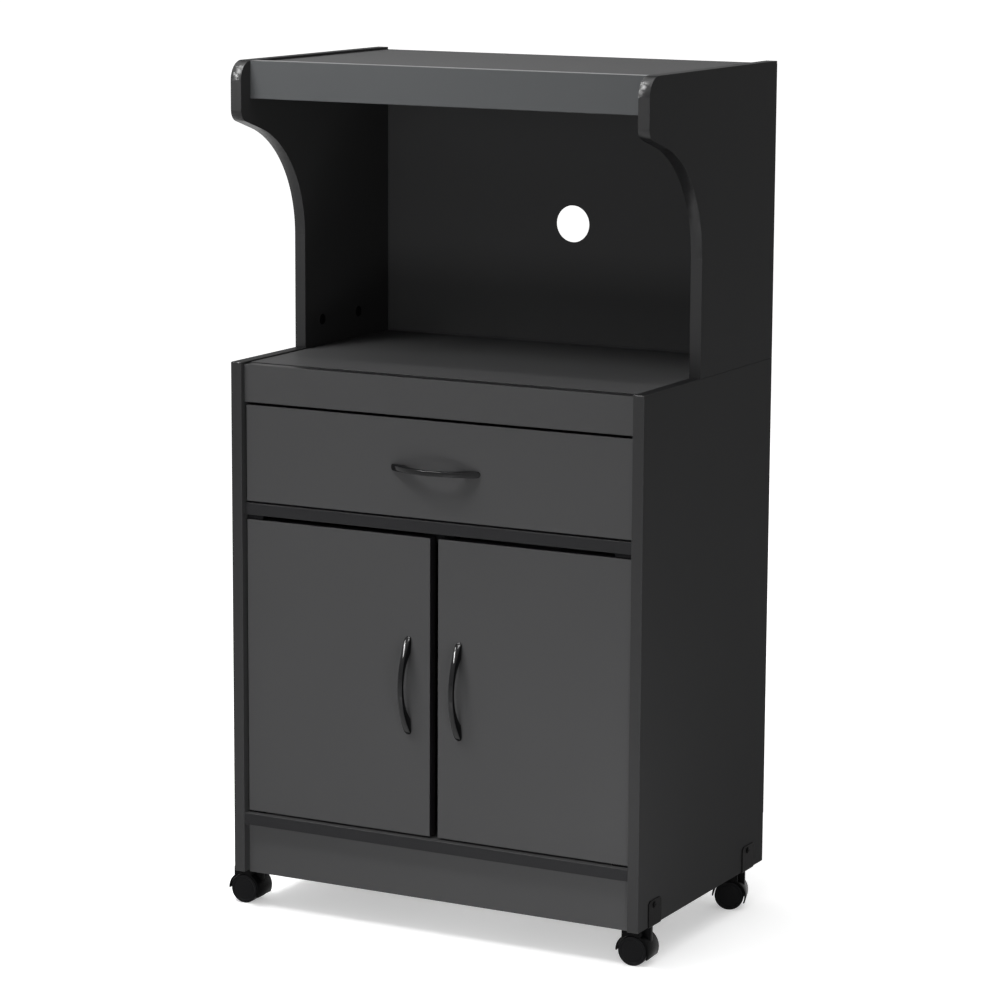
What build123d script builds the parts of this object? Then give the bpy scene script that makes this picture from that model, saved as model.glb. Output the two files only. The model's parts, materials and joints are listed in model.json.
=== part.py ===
from build123d import *
import math
import os

# Millimetres. X runs across the front, -Y is the front, Z is up from the floor,
# and the origin is on the floor, midway between the sides and between front and rear.

# Overall sizes
cabinet_width = 612.0
cabinet_depth = 399.0
lower_height = 705.0
hutch_height = 399.0
caster_height = 52.0

# Boards and sheets
board = 16.0
back_sheet = 3.0
drawer_board = 12.0
drawer_sheet = 3.0

# Front of the lower cabinet, from the floor up
front_inset = 8.0
panel_foot_lift = 2.4
toe_kick_height = 70.0
toe_kick_recess = 13.0
door_gap_below = 2.5
door_gap_above = 6.2
drawer_gap_below = 3.0
drawer_front_height = 130.3
drawer_gap_above = 3.5
fascia_height = 51.0
fascia_drop = 1.0
fascia_seam = 0.4
worktop_drop = 2.0
side_gap = 3.0
centre_gap = 12.0
back_margin = 1.0

# Shelf inside the cupboard
shelf_rise = 205.0
shelf_setback = 60.0
shelf_play = 0.5
shelf_bracket_leg = 14.0
shelf_bracket_width = 12.0
shelf_bracket_steel = 2.0
shelf_bracket_inset = 45.0

# Hutch side panels, whose front edge sweeps forward into an ear at the top
hutch_setback = 167.0
hutch_sweep_drop = 243.0
hutch_sweep_radius = 158.0
ear_inset = 5.0
ear_head_radius = 26.0
ear_foot_radius = 16.0
ear_lip_slope = 17.0
hutch_top_drop = 3.4
hutch_fascia_inset = 28.0
hutch_fascia_drop = 0.4
hutch_fascia_height = 50.0

# Cable hole in the hutch back
cable_hole_radius = 25.5
cable_hole_rise = 165.0
cable_hole_offset = 3.0

# Bow handles
handle_length = 133.0
handle_width = 8.8
handle_projection = 25.0
handle_waist = 6.0
handle_foot_length = 22.0
handle_tip = 1.6
drawer_handle_offset = 2.0
door_handle_inset = 32.0
door_handle_rise = 0.7

# Door pivots: studs on plates let into the doors turn in nylon blocks let into the boards
pivot_inset = 12.0
pivot_plate_length = 24.0
pivot_plate_width = 12.0
pivot_plate_steel = 1.5
pivot_stud_radius = 3.0
pivot_stud_reach = 8.0
pivot_clearance = 0.05
pivot_rest_gap = 0.3
pivot_end_gap = 1.0
pivot_block_depth = 10.0

# Magnetic catch under the divider and its strike plates on the doors
catch_width = 44.0
catch_depth = 15.0
catch_height = 14.0
strike_size = 12.0
strike_thickness = 1.0
strike_spacing = 28.0
strike_drop = 1.5
catch_gap = 0.3

# Drawer box
drawer_rear_space = 33.0
drawer_box_height = 90.0
drawer_bottom_rise = 10.0
groove_depth = 4.0
groove_play = 0.1

# Roller runners
runner_width = 12.7
runner_rear_space = 21.0
runner_steel = 1.2
runner_height = 23.2
runner_lift = 12.0
runner_setback = 2.0
runner_flange = 9.5
running_flange_drop = 2.0
running_flange_play = 1.4
support_flange_rise = 2.0
roller_radius = 9.0
roller_width = 6.0
roller_inset = 12.0
roller_end_play = 0.2
roller_rolling_gap = 0.1
stub_radius = 2.0
stub_clearance = 0.05

# Twin-wheel casters, each as (name, side, end, heading of the axle in degrees)
casters = (
    ("front_left", -1, -1, -1.35),
    ("front_right", 1, -1, -3.5),
    ("rear_left", -1, 1, -10.0),
    ("rear_right", 1, 1, -19.0),
)
front_caster_inset = 48.5
rear_caster_inset = 55.0
caster_side_inset = 9.5
wheel_radius = 20.0
wheel_width = 15.5
wheel_side_gap = 0.3
trail = 14.0
axle_radius = 2.5
axle_clearance = 0.05
hood_width = 38.0
hood_wheel_gap = 1.3
hood_wall = 2.2
hood_heel_drop = 0.5
hood_stem_drop = 10.0
saddle_heel_reach = 15.0
saddle_stem_reach = 11.5
web_thickness = 5.0
web_margin = 4.0
neck_width = 13.0
neck_gap = 0.3
stem_radius = 3.0
stem_clearance = 0.05

# Caster brackets, each with a leg up the outer face of its side panel and a leg under it
bracket_width = 38.0
bracket_height = 35.0
bracket_reach = 38.0
bracket_steel = 1.5
bracket_bend = 2.0
bracket_corner = 4.0
bracket_pad_width = 16.0
bracket_pad_height = 1.0

# Planes and heights worked out from the sizes above
half_width = cabinet_width / 2
side_inner = half_width - board
panel_middle = half_width - board / 2
front = -cabinet_depth / 2
rear = cabinet_depth / 2
carcase_rear = rear - back_sheet
carcase_depth = carcase_rear - front
carcase_mid = (carcase_rear + front) / 2
lower_bottom = caster_height
lower_top = lower_bottom + lower_height
panel_base = lower_bottom + panel_foot_lift
overall_top = lower_top + hutch_height
face_front = front + front_inset
face_rear = face_front + board
bottom_panel_base = lower_bottom + toe_kick_height
bottom_panel_top = bottom_panel_base + board
worktop_top = lower_top - worktop_drop
worktop_base = worktop_top - board
fascia_base = worktop_top - fascia_drop - fascia_height
drawer_front_top = fascia_base - drawer_gap_above
drawer_front_base = drawer_front_top - drawer_front_height
divider_top = drawer_front_base - drawer_gap_below
divider_base = divider_top - board
door_base = bottom_panel_top + door_gap_below
door_top = divider_base - door_gap_above
door_height = door_top - door_base
door_width = side_inner - side_gap - centre_gap / 2
door_middle = (door_base + door_top) / 2
face_width = 2 * (side_inner - side_gap)
hutch_top_upper = overall_top - hutch_top_drop
hutch_top_base = hutch_top_upper - board
shelf_base = bottom_panel_top + shelf_rise
sides = ((-1, "left"), (1, "right"))


def drill(point, direction):
    """The place of a hole that starts at a point and runs in a direction."""
    return Location(Plane(origin=point, z_dir=[-part for part in direction]))


def front_view(depth):
    """An upright plane that faces the front, with X to the right and Z up."""
    return Plane(origin=(0, depth, 0), x_dir=(1, 0, 0), z_dir=(0, -1, 0))


os.makedirs("parts", exist_ok=True)

# Places that several pieces share
shelf_front = front + shelf_setback
shelf_mid = (shelf_front + carcase_rear) / 2
shelf_bracket_depths = (shelf_front + shelf_bracket_inset, carcase_rear - shelf_bracket_inset)
pivot_x = side_inner - side_gap - pivot_inset
pivot_y = (face_front + face_rear) / 2
bracket_base = panel_base - bracket_steel
pad_base = bracket_base - bracket_pad_height


def swivel_place(side, end):
    """Where a caster's swivel stands in the floor plan."""
    depth = front + front_caster_inset if end < 0 else rear - rear_caster_inset
    return (side * (half_width - caster_side_inset), depth)


# Lower side panels
for side, side_name in sides:
    with BuildPart() as side_panel:
        with BuildSketch(Plane.XY.offset(panel_base)):
            with Locations((side * panel_middle, carcase_mid)):
                Rectangle(board, carcase_depth)
        extrude(amount=lower_top - panel_base)
    side_panel.part.label = f"{side_name}_side_panel"
    export_step(side_panel.part, f"parts/{side_name}_side_panel.step")

# Worktop, set between the sides and behind its fascia
worktop_front = face_rear + fascia_seam
with BuildPart() as worktop:
    with BuildSketch(Plane.XY.offset(worktop_base)):
        with Locations((0, (worktop_front + carcase_rear) / 2)):
            Rectangle(2 * side_inner, carcase_rear - worktop_front)
    extrude(amount=board)
worktop.part.label = "worktop"
export_step(worktop.part, "parts/worktop.step")

# Fascia in front of the worktop
with BuildPart() as worktop_fascia:
    with BuildSketch(Plane.XY.offset(fascia_base)):
        with Locations((0, (face_front + face_rear) / 2)):
            Rectangle(2 * side_inner, board)
    extrude(amount=fascia_height)
worktop_fascia.part.label = "worktop_fascia"
export_step(worktop_fascia.part, "parts/worktop_fascia.step")


def pivot_places():
    """The two places across the front where the doors' pivots stand."""
    return [(side * pivot_x, pivot_y) for side, _ in sides]


# Divider between the drawer and the cupboard
with BuildPart() as drawer_divider:
    with BuildSketch(Plane.XY.offset(divider_base)):
        with Locations((0, (face_front + carcase_rear) / 2)):
            Rectangle(2 * side_inner, carcase_rear - face_front)
    extrude(amount=board)
    with BuildSketch(Plane.XY.offset(divider_base)):
        with Locations(*pivot_places()):
            Rectangle(pivot_plate_length, pivot_plate_width)
    extrude(amount=pivot_block_depth, mode=Mode.SUBTRACT)
drawer_divider.part.label = "drawer_divider"
export_step(drawer_divider.part, "parts/drawer_divider.step")

# Bottom of the cupboard
with BuildPart() as bottom_panel:
    with BuildSketch(Plane.XY.offset(bottom_panel_base)):
        with Locations((0, carcase_mid)):
            Rectangle(2 * side_inner, carcase_depth)
    extrude(amount=board)
    with BuildSketch(Plane.XY.offset(bottom_panel_top)):
        with Locations(*pivot_places()):
            Rectangle(pivot_plate_length, pivot_plate_width)
    extrude(amount=-pivot_block_depth, mode=Mode.SUBTRACT)
bottom_panel.part.label = "bottom_panel"
export_step(bottom_panel.part, "parts/bottom_panel.step")

# Toe kick under the bottom panel
with BuildPart() as toe_kick:
    with BuildSketch(Plane.XY.offset(lower_bottom)):
        with Locations((0, front + toe_kick_recess + board / 2)):
            Rectangle(2 * side_inner, board)
    extrude(amount=toe_kick_height)
toe_kick.part.label = "toe_kick"
export_step(toe_kick.part, "parts/toe_kick.step")

# Hardboard back of the lower cabinet, nailed over the rear edges
with BuildPart() as lower_back_panel:
    with BuildSketch(Plane.XY.offset(bottom_panel_base)):
        with Locations((0, (carcase_rear + rear) / 2)):
            Rectangle(cabinet_width - 2 * back_margin, back_sheet)
    extrude(amount=lower_top - bottom_panel_base)
lower_back_panel.part.label = "lower_back_panel"
export_step(lower_back_panel.part, "parts/lower_back_panel.step")

# Loose shelf in the cupboard and the steel angles that carry it
with BuildPart() as cupboard_shelf:
    with BuildSketch(Plane.XY.offset(shelf_base)):
        with Locations((0, shelf_mid)):
            Rectangle(2 * (side_inner - shelf_play), carcase_rear - shelf_front)
    extrude(amount=board)
cupboard_shelf.part.label = "cupboard_shelf"
export_step(cupboard_shelf.part, "parts/cupboard_shelf.step")

with BuildPart() as shelf_brackets:
    for depth in shelf_bracket_depths:
        with BuildSketch(front_view(depth - shelf_bracket_width / 2)):
            with BuildLine():
                Polyline(
                    (side_inner, shelf_base),
                    (side_inner - shelf_bracket_leg, shelf_base),
                    (side_inner - shelf_bracket_leg, shelf_base - shelf_bracket_steel),
                    (side_inner - shelf_bracket_steel, shelf_base - shelf_bracket_steel),
                    (side_inner - shelf_bracket_steel, shelf_base - shelf_bracket_leg),
                    (side_inner, shelf_base - shelf_bracket_leg),
                    close=True,
                )
            make_face()
        extrude(amount=-shelf_bracket_width)
    mirror(about=Plane.YZ)
shelf_brackets.part.label = "shelf_brackets"
export_step(shelf_brackets.part, "parts/shelf_brackets.step")

# Hutch side panels. From the top of the straight edge the sweep is an arc that starts upright
# and ends where it slopes gently up to the front. There it runs on as a straight lip to the ear.
sweep_foot = (front + hutch_setback, overall_top - hutch_sweep_drop)
sweep_centre = sweep_foot[0] - hutch_sweep_radius
lip_turn = math.radians(ear_lip_slope)
sweep_end = (
    sweep_centre + hutch_sweep_radius * math.sin(lip_turn),
    sweep_foot[1] + hutch_sweep_radius * math.cos(lip_turn),
)
ear_front = front + ear_inset
lip_end_depth = ear_front + ear_foot_radius * (1 - math.sin(lip_turn))
lip_end = (lip_end_depth, sweep_end[1] + (sweep_end[0] - lip_end_depth) * math.tan(lip_turn))
ear_foot = (ear_front, lip_end[1] + ear_foot_radius * math.cos(lip_turn))
ear_head = (ear_front, overall_top - ear_head_radius)
ear_crown = (ear_front + ear_head_radius, overall_top)

for side, side_name in sides:
    with BuildPart() as hutch_side:
        with BuildSketch(Plane.YZ.offset(min(side * side_inner, side * half_width))):
            with BuildLine():
                Polyline(
                    ear_crown,
                    (carcase_rear, overall_top),
                    (carcase_rear, lower_top),
                    (sweep_foot[0], lower_top),
                    sweep_foot,
                )
                TangentArc(sweep_foot, sweep_end, tangent=(0, 1))
                Line(sweep_end, lip_end)
                TangentArc(ear_foot, lip_end, tangent=(0, -1))
                Line(ear_foot, ear_head)
                TangentArc(ear_head, ear_crown, tangent=(0, 1))
            make_face()
        extrude(amount=board)
    hutch_side.part.label = f"hutch_{side_name}_side"
    export_step(hutch_side.part, f"parts/hutch_{side_name}_side.step")

# Hutch top and the fascia under its front edge
hutch_fascia_front = front + hutch_fascia_inset
hutch_fascia_rear = hutch_fascia_front + board
with BuildPart() as hutch_top:
    with BuildSketch(Plane.XY.offset(hutch_top_base)):
        with Locations((0, (hutch_fascia_rear + fascia_seam + carcase_rear) / 2)):
            Rectangle(2 * side_inner, carcase_rear - hutch_fascia_rear - fascia_seam)
    extrude(amount=board)
hutch_top.part.label = "hutch_top"
export_step(hutch_top.part, "parts/hutch_top.step")

with BuildPart() as hutch_fascia:
    with BuildSketch(Plane.XY.offset(overall_top - hutch_fascia_drop - hutch_fascia_height)):
        with Locations((0, (hutch_fascia_front + hutch_fascia_rear) / 2)):
            Rectangle(2 * side_inner, board)
    extrude(amount=hutch_fascia_height)
hutch_fascia.part.label = "hutch_fascia"
export_step(hutch_fascia.part, "parts/hutch_fascia.step")

# Hutch back with its cable hole
with BuildPart() as hutch_back_panel:
    with BuildSketch(Plane.XY.offset(lower_top)):
        with Locations((0, (carcase_rear + rear) / 2)):
            Rectangle(cabinet_width - 2 * back_margin, back_sheet)
    extrude(amount=hutch_top_upper - lower_top)
    cable_point = (cable_hole_offset, carcase_rear, lower_top + cable_hole_rise)
    with Locations(drill(cable_point, (0, 1, 0))):
        Hole(cable_hole_radius, depth=back_sheet)
hutch_back_panel.part.label = "hutch_back_panel"
export_step(hutch_back_panel.part, "parts/hutch_back_panel.step")


def bow_handle(middle):
    """A bow pull about its middle plane, whose X runs along the pull and Y out from the face."""
    half = handle_length / 2
    inner_half = half - handle_foot_length
    with BuildPart() as handle:
        with BuildSketch(middle):
            with BuildLine():
                ThreePointArc((-half, handle_tip), (0, handle_projection), (half, handle_tip))
                Polyline((half, handle_tip), (half, 0), (inner_half, 0))
                ThreePointArc(
                    (inner_half, 0),
                    (0, handle_projection - handle_waist),
                    (-inner_half, 0),
                )
                Polyline((-inner_half, 0), (-half, 0), (-half, handle_tip))
            make_face()
        extrude(amount=handle_width / 2, both=True)
    return handle


# Doors, each with its handle, its two pivot plates and the strike plate of its catch
strike_middle = divider_base - door_gap_above - strike_drop - strike_size / 2
for side, side_name in sides:
    with BuildPart() as door_panel:
        with BuildSketch(Plane.XY.offset(door_base)):
            with Locations((side * (centre_gap + door_width) / 2, pivot_y)):
                Rectangle(door_width, board)
        extrude(amount=door_height)
        for edge, way in ((door_base, 1), (door_top, -1)):
            with BuildSketch(Plane.XY.offset(edge)):
                with Locations((side * pivot_x, pivot_y)):
                    Rectangle(pivot_plate_length, pivot_plate_width)
            extrude(amount=way * pivot_plate_steel, mode=Mode.SUBTRACT)
    door_panel.part.label = f"{side_name}_door_panel"
    export_step(door_panel.part, f"parts/{side_name}_door_panel.step")

    handle_x = side * (centre_gap / 2 + door_handle_inset)
    handle_z = door_middle + door_handle_rise
    door_handle = bow_handle(
        Plane(origin=(handle_x, face_front, handle_z), x_dir=(0, 0, 1), z_dir=(1, 0, 0))
    )
    door_handle.part.label = f"{side_name}_door_handle"
    export_step(door_handle.part, f"parts/{side_name}_door_handle.step")

    with BuildPart() as door_pivot_plates:
        for edge, way, gap in ((door_base, -1, door_gap_below), (door_top, 1, door_gap_above)):
            with BuildSketch(Plane.XY.offset(edge)):
                with Locations((side * pivot_x, pivot_y)):
                    Rectangle(pivot_plate_length, pivot_plate_width)
            extrude(amount=-way * pivot_plate_steel)
            with BuildSketch(Plane.XY.offset(edge)):
                with Locations((side * pivot_x, pivot_y)):
                    Circle(pivot_stud_radius)
            extrude(amount=way * (gap + pivot_stud_reach))
    door_pivot_plates.part.label = f"{side_name}_door_pivot_plates"
    export_step(door_pivot_plates.part, f"parts/{side_name}_door_pivot_plates.step")

    with BuildPart() as door_strike_plate:
        with BuildSketch(front_view(face_rear)):
            with Locations((side * strike_spacing / 2, strike_middle)):
                Rectangle(strike_size, strike_size)
        extrude(amount=-strike_thickness)
    door_strike_plate.part.label = f"{side_name}_door_strike_plate"
    export_step(door_strike_plate.part, f"parts/{side_name}_door_strike_plate.step")

# Nylon pivot blocks let into the bottom panel and the divider
with BuildPart() as door_pivot_blocks:
    for height, way, stand in (
        (bottom_panel_top, 1, door_gap_below - pivot_rest_gap),
        (divider_base, -1, door_gap_above - pivot_end_gap),
    ):
        with BuildSketch(Plane.XY.offset(height - way * pivot_block_depth)):
            with Locations(*pivot_places()):
                Rectangle(pivot_plate_length, pivot_plate_width)
        extrude(amount=way * (pivot_block_depth + stand))
        with BuildSketch(Plane.XY.offset(height + way * stand)):
            with Locations(*pivot_places()):
                Circle(pivot_stud_radius + pivot_clearance)
        extrude(amount=-way * (stand + pivot_stud_reach + pivot_end_gap), mode=Mode.SUBTRACT)
door_pivot_blocks.part.label = "door_pivot_blocks"
export_step(door_pivot_blocks.part, "parts/door_pivot_blocks.step")

# Magnetic catch screwed under the divider behind the doors
catch_front = face_rear + strike_thickness + catch_gap
with BuildPart() as magnetic_catch:
    with BuildSketch(Plane.XY.offset(divider_base - catch_height)):
        with Locations((0, catch_front + catch_depth / 2)):
            Rectangle(catch_width, catch_depth)
    extrude(amount=catch_height)
magnetic_catch.part.label = "magnetic_catch"
export_step(magnetic_catch.part, "parts/magnetic_catch.step")

# Drawer front with its handle
drawer_front_mid = (drawer_front_base + drawer_front_top) / 2
box_outer = side_inner - runner_width
runner_base = divider_top + runner_lift
box_base = runner_base + support_flange_rise + runner_steel
box_top = box_base + drawer_box_height
box_inner = box_outer - drawer_board
box_rear = carcase_rear - drawer_rear_space
box_length = box_rear - face_rear
sheet_base = box_base + drawer_bottom_rise
sheet_top = sheet_base + drawer_sheet

with BuildPart() as drawer_front:
    with BuildSketch(Plane.XY.offset(drawer_front_base)):
        with Locations((0, pivot_y)):
            Rectangle(face_width, board)
    extrude(amount=drawer_front_height)
    with BuildSketch(Plane.XY.offset(sheet_base)):
        with Locations((0, face_rear)):
            Rectangle(2 * (box_inner + groove_depth), 2 * groove_depth)
    extrude(amount=drawer_sheet + groove_play, mode=Mode.SUBTRACT)
drawer_front.part.label = "drawer_front"
export_step(drawer_front.part, "parts/drawer_front.step")

drawer_handle = bow_handle(
    Plane(
        origin=(drawer_handle_offset, face_front, drawer_front_mid), x_dir=(1, 0, 0), z_dir=(0, 0, -1)
    )
)
drawer_handle.part.label = "drawer_handle"
export_step(drawer_handle.part, "parts/drawer_handle.step")

# Drawer box: two grooved sides, a back that stands on the bottom sheet, and the sheet
for side, side_name in sides:
    with BuildPart() as drawer_side:
        with BuildSketch(Plane.XY.offset(box_base)):
            with Locations((side * (box_outer + box_inner) / 2, (face_rear + box_rear) / 2)):
                Rectangle(drawer_board, box_length)
        extrude(amount=drawer_box_height)
        with BuildSketch(Plane.XY.offset(sheet_base)):
            with Locations((side * box_inner, (face_rear + box_rear) / 2)):
                Rectangle(2 * groove_depth, box_length)
        extrude(amount=drawer_sheet + groove_play, mode=Mode.SUBTRACT)
    drawer_side.part.label = f"drawer_{side_name}_side"
    export_step(drawer_side.part, f"parts/drawer_{side_name}_side.step")

with BuildPart() as drawer_back:
    with BuildSketch(Plane.XY.offset(sheet_top + groove_play)):
        with Locations((0, box_rear - drawer_board / 2)):
            Rectangle(2 * box_inner, drawer_board)
    extrude(amount=box_top - sheet_top - groove_play)
drawer_back.part.label = "drawer_back"
export_step(drawer_back.part, "parts/drawer_back.step")

sheet_front = face_rear - groove_depth + groove_play
with BuildPart() as drawer_bottom:
    with BuildSketch(Plane.XY.offset(sheet_base)):
        with Locations((0, (sheet_front + box_rear) / 2)):
            Rectangle(2 * (box_inner + groove_depth - groove_play), box_rear - sheet_front)
    extrude(amount=drawer_sheet)
drawer_bottom.part.label = "drawer_bottom"
export_step(drawer_bottom.part, "parts/drawer_bottom.step")

# Runners. Across a runner, u is measured inward from the side panel and w up from its base.
runner_front = face_rear + runner_setback
runner_length = carcase_rear - runner_rear_space - runner_front
roller_mid = runner_width / 2
flange_top = runner_height - running_flange_drop
flange_base = flange_top - runner_steel
front_roller = (runner_front + roller_inset, runner_base + flange_base - roller_rolling_gap - roller_radius)
rear_roller = (box_rear - roller_inset, runner_base + runner_steel + roller_rolling_gap + roller_radius)
stub_tip = roller_mid + roller_width / 2 + roller_end_play


def across(u, w):
    """A point of the right-hand runner's section, seen from the front."""
    return (side_inner - u, runner_base + w)


with BuildPart() as cabinet_runners:
    with BuildSketch(front_view(runner_front)):
        with BuildLine():
            Polyline(
                across(0, 0),
                across(runner_flange, 0),
                across(runner_flange, runner_steel),
                across(runner_steel, runner_steel),
                across(runner_steel, runner_height - runner_steel),
                across(runner_flange, runner_height - runner_steel),
                across(runner_flange, runner_height),
                across(0, runner_height),
                close=True,
            )
        make_face()
    extrude(amount=-runner_length)
    with BuildSketch(Plane.YZ.offset(side_inner - runner_steel)):
        with Locations(front_roller):
            Circle(stub_radius)
    extrude(amount=runner_steel - stub_tip)
    mirror(about=Plane.YZ)
cabinet_runners.part.label = "cabinet_runners"
export_step(cabinet_runners.part, "parts/cabinet_runners.step")

rear_stub_tip = roller_mid - roller_width / 2 - roller_end_play
with BuildPart() as drawer_runners:
    with BuildSketch(front_view(face_rear)):
        with BuildLine():
            Polyline(
                across(runner_width, flange_top),
                across(runner_steel + running_flange_play, flange_top),
                across(runner_steel + running_flange_play, flange_base),
                across(runner_width - runner_steel, flange_base),
                across(runner_width - runner_steel, support_flange_rise),
                across(runner_width + drawer_board, support_flange_rise),
                across(runner_width + drawer_board, support_flange_rise + runner_steel),
                across(runner_width, support_flange_rise + runner_steel),
                close=True,
            )
        make_face()
    extrude(amount=-box_length)
    with BuildSketch(Plane.YZ.offset(side_inner - runner_width + runner_steel)):
        with Locations(rear_roller):
            Circle(stub_radius)
    extrude(amount=runner_width - runner_steel - rear_stub_tip)
    mirror(about=Plane.YZ)
drawer_runners.part.label = "drawer_runners"
export_step(drawer_runners.part, "parts/drawer_runners.step")

# Nylon rollers, a pair on the cabinet's runners and a pair on the drawer's
for roller_name, roller_place in (("front_rollers", front_roller), ("rear_rollers", rear_roller)):
    with BuildPart() as rollers:
        with BuildSketch(Plane.YZ.offset(side_inner - roller_mid - roller_width / 2)):
            with Locations(roller_place):
                Circle(roller_radius)
                Circle(stub_radius + stub_clearance, mode=Mode.SUBTRACT)
        extrude(amount=roller_width)
        mirror(about=Plane.YZ)
    rollers.part.label = roller_name
    export_step(rollers.part, f"parts/{roller_name}.step")

# Casters. In each caster's side plane, X runs back along the trail and Y up from the floor.
hood_inner_radius = wheel_radius + hood_wheel_gap
hood_outer_radius = hood_inner_radius + hood_wall
wheel_inner_face = web_thickness / 2 + wheel_side_gap
neck_top = pad_base - neck_gap
hub_half = axle_radius + web_margin
saddle_middle = trail + (saddle_heel_reach - saddle_stem_reach) / 2


def hood_point(drop, way):
    """Where the hood's outer arc ends, a drop below the axle, on its heel or stem side."""
    return (trail + way * math.sqrt(hood_outer_radius**2 - drop**2), wheel_radius - drop)


for caster_name, side, end, heading in casters:
    turn = math.radians(heading)
    swivel = swivel_place(side, end)
    side_plane = Plane(
        origin=(*swivel, 0),
        x_dir=(-math.cos(turn), math.sin(turn), 0),
        z_dir=(math.sin(turn), math.cos(turn), 0),
    )

    with BuildPart() as caster_bracket:
        with BuildSketch(front_view(swivel[1] + bracket_width / 2)):
            with BuildLine():
                Polyline(
                    (side * (half_width - bracket_reach), bracket_base),
                    (side * (half_width + bracket_steel - bracket_bend), bracket_base),
                    (side * (half_width + bracket_steel), bracket_base + bracket_bend),
                    (side * (half_width + bracket_steel), panel_base + bracket_height),
                    (side * half_width, panel_base + bracket_height),
                    (side * half_width, panel_base),
                    (side * (half_width - bracket_reach), panel_base),
                    close=True,
                )
            make_face()
        extrude(amount=bracket_width)
        top_corners = caster_bracket.edges().filter_by(Axis.X).group_by(Axis.Z)[-1]
        chamfer(top_corners, bracket_corner)
        with BuildSketch(Plane(origin=(*swivel, pad_base))):
            Rectangle(bracket_pad_width, bracket_pad_width)
        extrude(amount=bracket_pad_height)
        with Locations(drill((*swivel, panel_base), (0, 0, -1))):
            Hole(stem_radius + stem_clearance, depth=bracket_steel + bracket_pad_height)
    caster_bracket.part.label = f"{caster_name}_caster_bracket"
    export_step(caster_bracket.part, f"parts/{caster_name}_caster_bracket.step")

    with BuildPart() as caster_hood:
        with BuildSketch(side_plane):
            with BuildLine():
                heel = hood_point(hood_heel_drop, 1)
                stem_end = hood_point(hood_stem_drop, -1)
                ThreePointArc(heel, (trail, wheel_radius + hood_outer_radius), stem_end)
                Line(stem_end, heel)
            make_face()
            with Locations((saddle_middle, (wheel_radius + neck_top) / 2)):
                Rectangle(saddle_heel_reach + saddle_stem_reach, neck_top - wheel_radius)
        extrude(amount=hood_width / 2, both=True)
        with BuildSketch(Plane(origin=(*swivel, wheel_radius), x_dir=side_plane.x_dir)):
            Rectangle(neck_width, neck_width)
        extrude(amount=neck_top - wheel_radius)
        with BuildSketch(side_plane):
            with Locations((trail, wheel_radius)):
                Circle(hood_inner_radius)
        extrude(amount=hood_width / 2, both=True, mode=Mode.SUBTRACT)
        with BuildSketch(side_plane):
            with BuildLine():
                Polyline(
                    (-neck_width / 2, wheel_radius + hub_half),
                    (trail - hub_half, wheel_radius - hub_half),
                    (trail + hub_half, wheel_radius - hub_half),
                    (trail + hub_half, wheel_radius + hood_outer_radius),
                    (-neck_width / 2, wheel_radius + hood_outer_radius),
                    close=True,
                )
            make_face()
            with Locations((trail, wheel_radius)):
                Circle(hood_inner_radius + hood_wall / 2, mode=Mode.INTERSECT)
            with Locations((trail, wheel_radius + axle_radius + axle_clearance - hub_half)):
                Rectangle(2 * (axle_radius + axle_clearance), 2 * hub_half, mode=Mode.SUBTRACT)
        extrude(amount=web_thickness / 2, both=True)
        with BuildSketch(Plane(origin=(*swivel, neck_top))):
            Circle(stem_radius)
        extrude(amount=panel_base - neck_gap - neck_top)
    caster_hood.part.label = f"{caster_name}_caster_hood"
    export_step(caster_hood.part, f"parts/{caster_name}_caster_hood.step")

    with BuildPart() as caster_wheels:
        with BuildSketch(side_plane.offset(wheel_inner_face)):
            with Locations((trail, wheel_radius)):
                Circle(wheel_radius)
        extrude(amount=wheel_width)
        with BuildSketch(side_plane):
            with Locations((trail, wheel_radius)):
                Circle(axle_radius)
        extrude(amount=wheel_inner_face)
        mirror(about=side_plane)
    caster_wheels.part.label = f"{caster_name}_caster_wheels"
    export_step(caster_wheels.part, f"parts/{caster_name}_caster_wheels.step")
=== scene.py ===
import json
import math

import bmesh
import bpy
import numpy as np
from bpy.props import FloatProperty, FloatVectorProperty, IntProperty, PointerProperty
from mathutils import Matrix, Vector


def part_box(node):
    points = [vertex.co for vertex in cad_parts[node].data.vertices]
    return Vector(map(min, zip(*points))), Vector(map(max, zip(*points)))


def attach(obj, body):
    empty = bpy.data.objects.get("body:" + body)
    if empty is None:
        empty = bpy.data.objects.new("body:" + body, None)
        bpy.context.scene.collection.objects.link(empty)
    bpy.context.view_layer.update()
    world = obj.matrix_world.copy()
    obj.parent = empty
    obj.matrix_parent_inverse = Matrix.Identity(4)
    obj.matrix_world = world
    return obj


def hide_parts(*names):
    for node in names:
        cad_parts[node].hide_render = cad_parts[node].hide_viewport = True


bl_info = {
    "name": "Kitchen Cabinet Dressing",
    "version": (1, 0, 0),
    "blender": (4, 5, 0),
    "location": "View3D > Sidebar > Cabinet",
    "description": "Finishes, pulls, casters and fittings for a rolling kitchen cabinet with a hutch",
    "category": "Object",
}

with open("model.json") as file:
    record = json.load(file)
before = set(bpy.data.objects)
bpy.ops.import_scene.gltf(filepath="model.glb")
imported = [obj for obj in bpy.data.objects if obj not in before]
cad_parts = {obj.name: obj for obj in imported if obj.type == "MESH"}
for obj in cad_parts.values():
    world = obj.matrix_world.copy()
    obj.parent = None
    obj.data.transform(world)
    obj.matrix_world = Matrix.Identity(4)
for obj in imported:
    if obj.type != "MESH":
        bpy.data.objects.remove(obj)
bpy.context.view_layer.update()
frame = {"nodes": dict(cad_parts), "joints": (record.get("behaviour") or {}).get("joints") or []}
MM = 0.001

CASTERS = ("front_left", "front_right", "rear_left", "rear_right")
JOINTS = {joint["name"]: joint for joint in frame["joints"]}

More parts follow.
